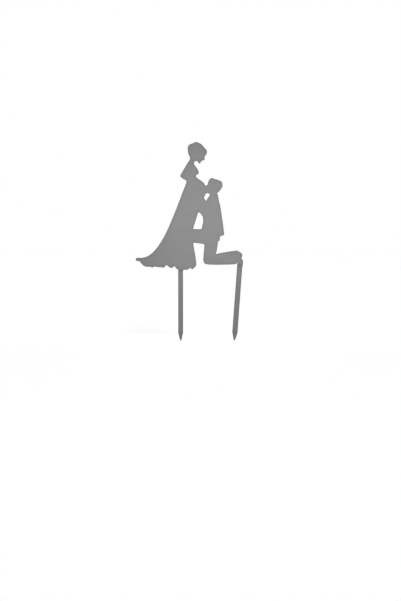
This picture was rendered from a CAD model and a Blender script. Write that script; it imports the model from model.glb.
import math

import bpy
import numpy as np
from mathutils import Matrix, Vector
from mathutils.geometry import delaunay_2d_cdt


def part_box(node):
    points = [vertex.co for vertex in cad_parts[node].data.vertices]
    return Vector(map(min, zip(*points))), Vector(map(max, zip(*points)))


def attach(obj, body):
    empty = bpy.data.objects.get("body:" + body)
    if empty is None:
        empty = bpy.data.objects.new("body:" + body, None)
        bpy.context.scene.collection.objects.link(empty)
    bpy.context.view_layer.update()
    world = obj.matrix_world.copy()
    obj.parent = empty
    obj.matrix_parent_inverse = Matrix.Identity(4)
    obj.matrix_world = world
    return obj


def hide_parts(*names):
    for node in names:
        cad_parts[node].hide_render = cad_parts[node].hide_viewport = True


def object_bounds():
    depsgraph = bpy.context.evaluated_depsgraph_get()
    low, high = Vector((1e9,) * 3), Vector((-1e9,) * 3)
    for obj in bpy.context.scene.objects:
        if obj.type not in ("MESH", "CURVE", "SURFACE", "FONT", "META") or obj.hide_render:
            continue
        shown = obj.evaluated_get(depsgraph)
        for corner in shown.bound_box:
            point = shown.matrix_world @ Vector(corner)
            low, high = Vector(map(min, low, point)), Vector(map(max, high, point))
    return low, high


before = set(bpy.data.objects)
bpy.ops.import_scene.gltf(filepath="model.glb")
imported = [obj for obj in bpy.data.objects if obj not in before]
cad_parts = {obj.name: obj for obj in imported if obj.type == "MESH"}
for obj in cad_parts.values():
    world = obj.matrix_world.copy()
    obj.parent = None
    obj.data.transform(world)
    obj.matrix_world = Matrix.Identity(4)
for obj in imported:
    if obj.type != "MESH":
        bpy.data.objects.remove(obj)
cad_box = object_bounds()


# The couple: one plate that a laser cuts from 3 mm cast acrylic sheet, silver grey all the way through.
# Cast sheet is flat and even, with the satin skin of the etched glass that it was poured between. The beam
# leaves a smooth wall with fine lines through it, and rims that its heat rounds and darkens a little.

MM = 0.001
WELD = 0.002 * MM  # points closer than this are one point
CUT_STEP = 0.45 * MM  # along a curve of the cut
LONGEST_FACET = 1.6 * MM  # a longer side of the solid's outline is a straight cut
CORNER = math.radians(24)  # a sharper turn than this stays a corner
MITRE_LIMIT = 0.6  # the cosine at which a corner's mitre stops growing
RIM_RADIUS = 0.16 * MM  # of the rims that the beam's heat rounds
RIM_ROWS = 5  # of vertices round a rim
TAPER = 0.05 * MM  # the outline is drawn in by this at the back, where the beam enters and burns widest
HEAT_RINGS = np.array([0.4, 0.9, 1.6, 2.6, 4.0]) * MM  # rows of vertices that follow the rim
RING_SHARE = 0.9  # a row's point is dropped where the cut is nearer than this share of the row's distance
FACE_GRID = 3.0 * MM  # between the vertices in the middle of a face
GRID_MARGIN = FACE_GRID / 3  # between them and the innermost row
BLOCK = 500  # about so many points are measured at a time, to spare memory


def cut_lines(node):
    """The closed lines round a node's front face, each as corner points (x, z) with the face on the left.

    The face's triangles are those that lie wholly at the node's lowest y. A side that no neighbour uses
    the other way round is on a cut line. Each line is followed by jumps: the path so far, moved on by as
    many points as it has, is put after itself, until its first point comes back.
    """
    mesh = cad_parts[node].data
    mesh.calc_loop_triangles()
    places = np.empty(len(mesh.vertices) * 3, np.float32)
    mesh.vertices.foreach_get("co", places)
    places = places.reshape(-1, 3).astype(float)
    triangles = np.empty(len(mesh.loop_triangles) * 3, np.int32)
    mesh.loop_triangles.foreach_get("vertices", triangles)
    corners = places[triangles.reshape(-1, 3)]
    front = corners[np.all(corners[:, :, 1] < places[:, 1].min() + WELD, axis=1)][:, :, [0, 2]]
    keys = np.round(front.reshape(-1, 2) / WELD).astype(np.int64)
    first, index = np.unique(keys, axis=0, return_index=True, return_inverse=True)[1:]
    points = front.reshape(-1, 2)[first]
    count = len(points)
    a = index.reshape(-1, 3)
    b = np.roll(a, -1, axis=1)
    outer = ~np.isin(a * count + b, b * count + a)
    following = np.full(count, -1)
    following[a[outer]] = b[outer]
    lines = []
    left = set(a[outer].tolist())
    while left:
        path = np.array([min(left)])
        jump = following
        while np.count_nonzero(path == path[0]) < 2:
            path = np.concatenate([path, jump[path]])
            jump = jump[jump]
        line = path[:np.flatnonzero(path == path[0])[1]]
        left -= set(line.tolist())
        lines.append(points[line])
    return lines


def smooth_cut(line):
    """The line as the beam drew it: through the same points, curved between corners, in steps of CUT_STEP.

    Each side is a cubic whose end slopes are, at a point on a curve, the mean of the two sides' directions,
    each weighted by the other's length, and at a corner or next to a straight cut, a side's own direction.
    """
    side = np.roll(line, -1, axis=0) - line
    length = np.linalg.norm(side, axis=1)
    along = side / length[:, None]
    before, before_length = np.roll(along, 1, axis=0), np.roll(length, 1)
    mean = before * length[:, None] + along * before_length[:, None]
    mean /= np.linalg.norm(mean, axis=1)[:, None]
    turn = np.arccos(np.clip((before * along).sum(1), -1, 1))
    straight, before_straight = length > LONGEST_FACET, before_length > LONGEST_FACET
    corner = (turn > CORNER) | (straight & before_straight)
    leaving = np.where(before_straight[:, None], before, mean)
    leaving = np.where((corner | straight)[:, None], along, leaving)
    arriving = np.where(straight[:, None], along, mean)
    arriving = np.where((corner | before_straight)[:, None], before, arriving)
    arriving = np.roll(arriving, -1, axis=0)
    steps = np.maximum(1, np.ceil(length / CUT_STEP)).astype(int)
    number = np.repeat(np.arange(len(line)), steps)
    t = (np.arange(len(number)) - np.repeat(np.cumsum(steps) - steps, steps)) / steps[number]
    t = t[:, None]
    start, end, reach = line[number], np.roll(line, -1, axis=0)[number], length[number][:, None]
    return (
        start * (2 * t**3 - 3 * t**2 + 1)
        + leaving[number] * reach * (t**3 - 2 * t**2 + t)
        + end * (3 * t**2 - 2 * t**3)
        + arriving[number] * reach * (t**3 - t**2)
    )


def inward(line):
    """Vectors that point from a cut line into the plate: the middle of the two sides' normals, lengthened
    at a corner as a mitre is, so that the line moved by them keeps one distance from both sides.
    """
    along = np.roll(line, -1, axis=0) - line
    along /= np.linalg.norm(along, axis=1)[:, None]
    left = np.stack([-along[:, 1], along[:, 0]], axis=1)
    both = left + np.roll(left, 1, axis=0)
    both /= np.linalg.norm(both, axis=1)[:, None]
    return both / np.maximum(MITRE_LIMIT, (both * left).sum(1))[:, None]


def from_cut(points, lines):
    """How far each point lies from the nearest side of any cut line: square to it, or to its nearer end."""
    least = np.full(len(points), np.inf)
    for line in lines:
        start, side = line, np.roll(line, -1, axis=0) - line
        for block in np.array_split(np.arange(len(points)), max(1, len(points) // BLOCK)):
            offset = points[block, None] - start
            t = np.clip((offset * side).sum(2) / (side**2).sum(1), 0, 1)
            gap = np.linalg.norm(offset - t[:, :, None] * side, axis=2).min(1)
            least[block] = np.minimum(least[block], gap)
    return least


def inside_cut(points, lines):
    """Whether each point is on the plate: a ray to its right crosses the cut lines an odd number of times."""
    crossings = np.zeros(len(points), int)
    for line in lines:
        x0, z0 = line.T
        x1, z1 = np.roll(line, -1, axis=0).T
        x, z = points[:, :1], points[:, 1:]
        spans = (z0 > z) != (z1 > z)
        across = x0 + (z - z0) * (x1 - x0) / np.where(z1 == z0, 1, z1 - z0)
        crossings += (spans & (across > x)).sum(1)
    return crossings % 2 == 1


def fill_face(lines):
    """Fills the flat face inside the lines: rows of points that follow the rims, then a grid in the middle.

    Returns the added points (x, z) and the triangles, which a Delaunay triangulation makes with the
    lines' sides kept. Each row further in takes fewer of the rim's points.
    """
    lines = [line.astype(np.float32).astype(float) for line in lines]
    sides = []
    start = 0
    for line in lines:
        number = np.arange(start, start + len(line))
        sides.append(np.stack([number, np.roll(number, -1)], axis=1))
        start += len(line)
    rim = np.concatenate(lines)
    rows = []
    for i, ring in enumerate(HEAT_RINGS):
        for line in lines:
            row = (line + inward(line) * ring)[::i + 1]
            rows.append(row[from_cut(row, lines) > RING_SHARE * ring])
    low, high = rim.min(0), rim.max(0)
    columns, levels = (np.arange(a, b, FACE_GRID) for a, b in zip(low, high))
    x, z = np.meshgrid(columns, levels)
    every_other_level = np.arange(z.size) // len(columns) % 2
    grid = np.stack([x.ravel() + every_other_level * FACE_GRID / 2, z.ravel()], axis=1)
    rows.append(grid[from_cut(grid, lines) > HEAT_RINGS[-1] + GRID_MARGIN])
    inner = np.concatenate(rows).astype(np.float32).astype(float)
    inner = inner[inside_cut(inner, lines)]
    points = np.concatenate([rim, inner])
    whole_hull, nearest = 0, 1e-9
    made = delaunay_2d_cdt(
        [Vector(point) for point in points.tolist()], np.concatenate(sides).tolist(), [], whole_hull, nearest,
    )
    triangles, sources = made[2:4]
    triangles = np.array([numbers[0] for numbers in sources])[np.array(triangles)]
    return inner, triangles[inside_cut(points[triangles].mean(1), lines)]


def cut_plate(name, node, rim_profile, materials):
    """A plate with the node's outline and thickness, with one material for its faces and one for its wall.

    The rim profile is carried along each cut line: a row of the wall is the line moved inwards by the
    profile's first number, at its second number as a share of the thickness. The first and the last row
    are the rims of the two faces. Each point keeps its distance from the cut as the value from_rim.
    """
    low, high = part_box(node)
    lines = [smooth_cut(line) for line in cut_lines(node)]
    depths = low.y + (high.y - low.y) * rim_profile[:, 1]
    places, faces, walls, rows_of = [], [], [], []
    count = 0
    for line in lines:
        rows, across = len(rim_profile), len(line)
        flat = line[None] + inward(line)[None] * rim_profile[:, 0][:, None, None]
        y = np.broadcast_to(depths[:, None], (rows, across))
        places.append(np.stack([flat[:, :, 0], y, flat[:, :, 1]], axis=2).reshape(-1, 3))
        number = count + np.arange(rows * across).reshape(rows, across)
        rows_of.append(number)
        after = np.roll(number, -1, axis=1)
        quads = np.stack([number[:-1], number[1:], after[1:], after[:-1]], axis=2)
        walls.append(quads.reshape(-1, 4))
        count += rows * across
    for row in (0, -1):
        rims = [line + inward(line) * rim_profile[row, 0] for line in lines]
        inner, triangles = fill_face(rims)
        places.append(np.stack([inner[:, 0], np.full(len(inner), depths[row]), inner[:, 1]], axis=1))
        number = np.concatenate([numbers[row] for numbers in rows_of] + [count + np.arange(len(inner))])
        faces.append(number[triangles if row == 0 else triangles[:, ::-1]])
        count += len(inner)
    places, faces, walls = (np.concatenate(group) for group in (places, faces, walls))
    mesh = bpy.data.meshes.new(name)
    mesh.from_pydata(places.tolist(), [], faces.tolist() + walls.tolist())
    mesh.polygons.foreach_set("material_index", np.repeat([0, 1], [len(faces), len(walls)]))
    mesh.polygons.foreach_set("use_smooth", np.ones(len(mesh.polygons), bool))
    from_rim = mesh.attributes.new("from_rim", "FLOAT", "POINT")
    from_rim.data.foreach_set("value", from_cut(places[:, [0, 2]], lines))
    for material in materials:
        mesh.materials.append(material)
    piece = bpy.data.objects.new(name, mesh)
    bpy.context.scene.collection.objects.link(piece)
    return piece


def linear(hex_colour):
    """An sRGB hex colour as linear red, green and blue, each by the sRGB curve, with alpha 1."""
    channels = np.array([int(hex_colour[i:i + 2], 16) for i in (1, 3, 5)]) / 255
    low, high = channels / 12.92, ((channels + 0.055) / 1.055) ** 2.4
    return (*np.where(channels <= 0.04045, low, high).tolist(), 1)


def new_material(name):
    """A material of that name with Blender's Principled shader in it."""
    material = bpy.data.materials.new(name)
    material.use_nodes = True
    return material


def add(material, kind, inputs=None, **settings):
    """Adds a node of that kind to the material or the world. An input is a value, or an output to link."""
    tree = material.node_tree
    node = tree.nodes.new("ShaderNode" + kind)
    for setting, value in settings.items():
        setattr(node, setting, value)
    for socket, value in (inputs or {}).items():
        if isinstance(value, bpy.types.NodeSocket):
            tree.links.new(value, node.inputs[socket])
        else:
            node.inputs[socket].default_value = value
    return node


def finish_shader(material, links, **values):
    """Links the material's Principled sockets, and sets values on those whose names have _ for a space."""
    shader = material.node_tree.nodes["Principled BSDF"]
    for socket, value in values.items():
        shader.inputs[socket.replace("_", " ")].default_value = value
    for socket, output in links.items():
        material.node_tree.links.new(output, shader.inputs[socket])


# Satin cast acrylic, pigmented silver grey. The eye sees an even mid grey with a broad, soft sheen. Close up
# the pigment has faint clouds, the etched skin a fine grain, and a cloth has left thin wipe marks. Beside
# the cut, the beam's heat has made the skin a little darker. A share says how far each of these moves the
# colour towards the deep pigment.
ACRYLIC_IOR = 1.49
PIGMENT, DEEP_PIGMENT = "#8f8f8f", "#6c6c6c"
EVEN_SHARE = 0.1  # all over the sheet
WIDE_CLOUD, WIDE_CLOUD_SHARE = 34 * MM, 0.3
SMALL_CLOUD, SMALL_CLOUD_SHARE = 9 * MM, 0.16
GRAIN, GRAIN_SHARE = 0.9 * MM, 0.1  # the etched grain is 0.1 mm, drawn coarser so that it shows
GRAIN_DEPTH = 0.006 * MM
WIPE_LENGTH, WIPE_WIDTH, WIPE_SHARE = 40 * MM, 1.1 * MM, 0.06
WIPE_SLANT = math.radians(28)
HEAT_REACH, HEAT_SHARE = 5.2 * MM, 0.46  # the share is that at the rim
HEAT_FADE = 2.5  # the power by which it fades from the rim
SKIN_ROUGHNESS = (0.37, 0.47)  # from the most to the least polished by wiping
NOISE_MIDDLE, NOISE_RANGE = 0.5, (0.3, 0.7)  # nearly all of a noise's values lie in the range


def satin_sheet():
    """The colour lies between the two pigments, at the sum of the shares: each noise counts by how far it is
    from its middle, and the heat by its nearness to the rim, raised to its fading power.
    """
    material = new_material("satin_cast_acrylic")
    place = add(material, "TexCoord").outputs["Object"]
    wide = add(material, "TexNoise", {"Vector": place, "Scale": 1 / WIDE_CLOUD, "Detail": 2.0})
    small = add(material, "TexNoise", {"Vector": place, "Scale": 1 / SMALL_CLOUD, "Detail": 3.0})
    grain = add(material, "TexNoise", {"Vector": place, "Scale": 1 / GRAIN, "Detail": 2.0})
    wiped = add(material, "Mapping", {
        "Vector": place,
        "Rotation": (0, WIPE_SLANT, 0),
        "Scale": (1 / WIPE_LENGTH, 1 / WIPE_LENGTH, 1 / WIPE_WIDTH),
    }).outputs["Vector"]
    wipe = add(material, "TexNoise", {"Vector": wiped, "Scale": 1.0, "Detail": 4.0, "Roughness": 0.6})
    from_rim = add(material, "Attribute", attribute_name="from_rim").outputs["Fac"]
    nearness = add(material, "MapRange", {
        "Value": from_rim, "From Min": 0.0, "From Max": HEAT_REACH, "To Min": 1.0, "To Max": 0.0,
    }).outputs["Result"]
    heat = add(material, "Math", {0: nearness, 1: HEAT_FADE}, operation="POWER").outputs[0]
    depth = add(material, "Math", {0: heat, 1: HEAT_SHARE}, operation="MULTIPLY").outputs[0]
    for noise, share in (
        (wide, WIDE_CLOUD_SHARE),
        (small, SMALL_CLOUD_SHARE),
        (grain, GRAIN_SHARE),
        (wipe, WIPE_SHARE),
    ):
        sway = add(material, "Math", {0: noise.outputs["Fac"], 1: NOISE_MIDDLE}, operation="SUBTRACT")
        moved = {0: sway.outputs[0], 1: share, 2: depth}
        depth = add(material, "Math", moved, operation="MULTIPLY_ADD").outputs[0]
    depth = add(material, "Math", {0: depth, 1: EVEN_SHARE}, operation="ADD", use_clamp=True).outputs[0]
    colour = add(material, "Mix", {0: depth, 6: linear(PIGMENT), 7: linear(DEEP_PIGMENT)}, data_type="RGBA")
    polish = add(material, "MapRange", {
        "Value": wipe.outputs["Fac"],
        "From Min": NOISE_RANGE[0], "From Max": NOISE_RANGE[1],
        "To Min": SKIN_ROUGHNESS[0], "To Max": SKIN_ROUGHNESS[1],
    }).outputs["Result"]
    relief = add(material, "Bump", {"Height": grain.outputs["Fac"], "Strength": 1.0, "Distance": GRAIN_DEPTH})
    finish_shader(
        material,
        {"Base Color": colour.outputs[2], "Roughness": polish, "Normal": relief.outputs["Normal"]},
        IOR=ACRYLIC_IOR,
    )
    return material


# The wall that the beam leaves has no grain and is smoother than the skin, and a shade deeper, with lines a
# third of a millimetre apart from the front to the back. They show as soft stripes of light.
CUT_PIGMENT, CUT_DEEP_PIGMENT = "#868686", "#626262"
CUT_LINE = 0.34 * MM
CUT_BAND = 1.9 * MM  # where the beam slowed a little
CUT_LINE_DEPTH = 0.02 * MM
CUT_STRETCH = 0.04  # a line's width as a share of its length through the sheet
CUT_ROUGHNESS = (0.18, 0.34)


def cut_wall():
    """The two noises are added and stretched through the sheet. Their sum gives both the colour's place
    between the two pigments and the height of the lines.
    """
    material = new_material("laser_cut_acrylic")
    place = add(material, "TexCoord").outputs["Object"]
    through = add(material, "Mapping", {"Vector": place, "Scale": (1, CUT_STRETCH, 1)}).outputs["Vector"]
    line = add(material, "TexNoise", {"Vector": through, "Scale": 1 / CUT_LINE, "Detail": 2.0})
    band = add(material, "TexNoise", {"Vector": through, "Scale": 1 / CUT_BAND, "Detail": 2.0})
    both = add(material, "Math", {0: line.outputs["Fac"], 1: band.outputs["Fac"]}, operation="ADD").outputs[0]
    depth = add(material, "MapRange", {
        "Value": both,
        "From Min": 2 * NOISE_RANGE[0], "From Max": 2 * NOISE_RANGE[1],
        "To Min": 0.0, "To Max": 1.0,
    }).outputs["Result"]
    light, deep = linear(CUT_PIGMENT), linear(CUT_DEEP_PIGMENT)
    colour = add(material, "Mix", {0: depth, 6: light, 7: deep}, data_type="RGBA")
    polish = add(material, "MapRange", {
        "Value": band.outputs["Fac"],
        "From Min": NOISE_RANGE[0], "From Max": NOISE_RANGE[1],
        "To Min": CUT_ROUGHNESS[0], "To Max": CUT_ROUGHNESS[1],
    }).outputs["Result"]
    relief = add(material, "Bump", {"Height": both, "Strength": 1.0, "Distance": CUT_LINE_DEPTH})
    finish_shader(
        material,
        {"Base Color": colour.outputs[2], "Roughness": polish, "Normal": relief.outputs["Normal"]},
        IOR=ACRYLIC_IOR,
    )
    return material


def rounded_rims(node):
    """The cut wall's profile: a quarter round at each rim, by 1 - sine and 1 - cosine times the radius, and
    between them a straight wall that leans in by the taper towards the back.
    """
    low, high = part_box(node)
    thickness = high.y - low.y
    around = np.linspace(0, math.pi / 2, RIM_ROWS)
    front = np.stack([1 - np.sin(around), 1 - np.cos(around)], axis=1) * RIM_RADIUS
    back = front[::-1] * (1, -1) + (TAPER, thickness)
    return np.concatenate([front, back]) / (1, thickness)


acrylic = [satin_sheet(), cut_wall()]
couple = cut_plate("couple", "couple_panel", rounded_rims("couple_panel"), acrylic)
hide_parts("couple_panel")
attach(couple, "root")


# The stakes: two flat blades that the laser cuts from the same sheet, tapered so that they go in without
# tearing. The right one leans with the shoe above it. Their tops lie flat behind the couple, where the pads
# hold them.

for side in ("left", "right"):
    node = side + "_stake"
    stake = cut_plate(node + "_blade", node, rounded_rims(node), acrylic)
    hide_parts(node)
    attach(stake, "root")


# The pads: strips of clear acrylic adhesive, half a millimetre thick, pressed into the laps between the
# stakes and the couple. The pressure has squeezed their edges round.

SQUEEZE = 0.3 * MM  # how far an edge bulges between the two faces
EDGE_ROWS = 9  # of vertices round an edge

# Clear acrylic adhesive is nearly colourless. Small bubbles and a light haze are caught where it wets the
# satin skin, so that it looks like cloudy glass.
PAD_COLOUR = "#eef0ec"
PAD_IOR = 1.47
PAD_CLEARNESS = 0.8
PAD_ROUGHNESS = (0.1, 0.35)
HAZE = 5 * MM
BUBBLE = 1.3 * MM  # between two bubbles
BUBBLE_RIM = (0.12, 0.3)  # where its edge starts and ends, as shares of that
BUBBLE_HEIGHT, BUBBLE_SOFTNESS = 0.05 * MM, 0.6


def clear_adhesive():
    """The roughness follows the haze's noise. A bubble's height falls from one to zero across its rim."""
    material = new_material("clear_acrylic_adhesive")
    place = add(material, "TexCoord").outputs["Object"]
    haze = add(material, "TexNoise", {"Vector": place, "Scale": 1 / HAZE, "Detail": 3.0})
    bubble = add(material, "TexVoronoi", {"Vector": place, "Scale": 1 / BUBBLE})
    caught = add(material, "MapRange", {
        "Value": bubble.outputs["Distance"],
        "From Min": BUBBLE_RIM[0], "From Max": BUBBLE_RIM[1],
        "To Min": 1.0, "To Max": 0.0,
    }, interpolation_type="SMOOTHSTEP").outputs["Result"]
    cloudy = add(material, "MapRange", {
        "Value": haze.outputs["Fac"],
        "From Min": NOISE_RANGE[0], "From Max": NOISE_RANGE[1],
        "To Min": PAD_ROUGHNESS[0], "To Max": PAD_ROUGHNESS[1],
    }).outputs["Result"]
    relief = add(material, "Bump", {"Height": caught, "Strength": BUBBLE_SOFTNESS, "Distance": BUBBLE_HEIGHT})
    finish_shader(
        material,
        {"Roughness": cloudy, "Normal": relief.outputs["Normal"]},
        Base_Color=linear(PAD_COLOUR),
        Transmission_Weight=PAD_CLEARNESS,
        IOR=PAD_IOR,
    )
    return material


def squeezed_edge():
    """A pad's edge profile: half an ellipse that bulges out between the faces and draws in at both rims."""
    around = np.linspace(0, math.pi, EDGE_ROWS)
    return np.stack([SQUEEZE * (1 - np.sin(around)), (1 - np.cos(around)) / 2], axis=1)


adhesive = clear_adhesive()
for side in ("left", "right"):
    node = side + "_bond_pad"
    pad = cut_plate(node + "_strip", node, squeezed_edge(), [adhesive, adhesive])
    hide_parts(node)
    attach(pad, "root")


# The studio: a white floor that runs on into a white surround, a softbox in front, and plain even light from
# above, from both sides and from behind, as white walls give it. The floor keeps the object's soft shadow.

FLOOR_DROP = 0.3 * MM  # the stakes' tips stand clear of the floor by this
FLOOR_HALF = 30.0  # metres from the middle to each side
PAPER = "#e7e7e7"
PAPER_ROUGHNESS = 0.9
PAPER_LIFT = 0.47  # the glow that brings it up to plain white in this light
WHITE = "#ffffff"
SURROUND_LIGHT = 0.2  # the surround's strength as light on the object, where it shows as white at 1
SOFTBOX_PLACE, SOFTBOX_AIM = Vector((0.0, -0.45, 0.083)), Vector((-0.002, 0.0, 0.093))
SOFTBOX_SIZE = 0.16
SOFTBOX_WATTS = 0.0845
SOFTBOX_SPREAD = math.radians(69)

scene = bpy.context.scene
floor_level = cad_box[0].z - FLOOR_DROP
floor_mesh = bpy.data.meshes.new("floor")
floor_mesh.from_pydata([
    (x * FLOOR_HALF, y * FLOOR_HALF, floor_level) for x, y in ((-1, -1), (1, -1), (1, 1), (-1, 1))
], [], [(0, 1, 2, 3)])
floor = bpy.data.objects.new("floor", floor_mesh)
scene.collection.objects.link(floor)


def shown(material):
    """One for a ray from the camera, from gloss or through clear material, and zero for light itself."""
    path = add(material, "LightPath").outputs
    seen = add(material, "Math", {0: path["Is Camera Ray"], 1: path["Is Glossy Ray"]}, operation="MAXIMUM")
    either = {0: seen.outputs[0], 1: path["Is Transmission Ray"]}
    return add(material, "Math", either, operation="MAXIMUM").outputs[0]


# Matt white studio paper, without a sheen. It looks even and plain white, and only the shadow shows on it.
paper = new_material("white_paper_floor")
lift = add(paper, "Math", {0: shown(paper), 1: PAPER_LIFT}, operation="MULTIPLY").outputs[0]
finish_shader(
    paper,
    {"Emission Strength": lift},
    Base_Color=linear(PAPER),
    Roughness=PAPER_ROUGHNESS,
    Emission_Color=linear(WHITE),
    Specular_IOR_Level=0.0,
)
floor_mesh.materials.append(paper)

softbox_data = bpy.data.lights.new("front_softbox", "AREA")
softbox_data.shape = "SQUARE"
softbox_data.size = SOFTBOX_SIZE
softbox_data.energy = SOFTBOX_WATTS
softbox_data.spread = SOFTBOX_SPREAD
softbox = bpy.data.objects.new("front_softbox", softbox_data)
softbox.location = SOFTBOX_PLACE
softbox.rotation_euler = (SOFTBOX_AIM - SOFTBOX_PLACE).to_track_quat("-Z", "Y").to_euler()
softbox.visible_camera = False
scene.collection.objects.link(softbox)

# A light's height above the level, its heading from the front round the object and its spread, in degrees.
for name, height, heading, spread, strength in (
    ("ceiling_light", 42, 25, 16, 0.4),
    ("left_wall_light", 15, -108, 70, 1.3),
    ("right_wall_light", 15, 108, 70, 1.3),
    ("rear_wall_light", 15, 180, 90, 1.3),
):
    light_data = bpy.data.lights.new(name, "SUN")
    light_data.energy = strength
    light_data.angle = math.radians(spread)
    light = bpy.data.objects.new(name, light_data)
    light.rotation_euler = (math.radians(90 - height), 0, math.radians(heading))
    light.visible_glossy = False
    scene.collection.objects.link(light)

surround = bpy.data.worlds.new("studio")
surround.use_nodes = True
scene.world = surround
glow = add(surround, "MapRange", {"Value": shown(surround), "To Min": SURROUND_LIGHT, "To Max": 1.0})
background = surround.node_tree.nodes["Background"]
background.inputs["Color"].default_value = linear(WHITE)
surround.node_tree.links.new(glow.outputs["Result"], background.inputs["Strength"])
scene.view_settings.view_transform = "Standard"


# The camera: it stands a metre in front of the sheet, 31 mm above the origin, and looks 3 degrees down. One
# pixel is 1.2 mm at the sheet's front.

PICTURE_WIDTH, PICTURE_HEIGHT = 401, 601
LENS = 50.0  # mm
SENSOR = 36.0  # mm, along the picture's height
PIXEL_SIZE = 1.2 * MM
HORIZON_ROW = 252.0  # shows what is level with the camera
ORIGIN_COLUMN, ORIGIN_ROW = 209.79, 277.5  # where the origin shows

focal_pixels = LENS / SENSOR * PICTURE_HEIGHT
distance = focal_pixels * PIXEL_SIZE
look_down = math.atan((PICTURE_HEIGHT / 2 - HORIZON_ROW) / focal_pixels)
camera_data = bpy.data.cameras.new("camera")
camera_data.lens = LENS
camera_data.sensor_width = SENSOR
camera = bpy.data.objects.new("camera", camera_data)
camera.location = (
    (PICTURE_WIDTH / 2 - ORIGIN_COLUMN) * PIXEL_SIZE,
    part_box("couple_panel")[0].y - distance,
    (ORIGIN_ROW - HORIZON_ROW) * PIXEL_SIZE,
)
camera.rotation_euler = (math.pi / 2 - look_down, 0, 0)
scene.collection.objects.link(camera)
scene.camera = camera
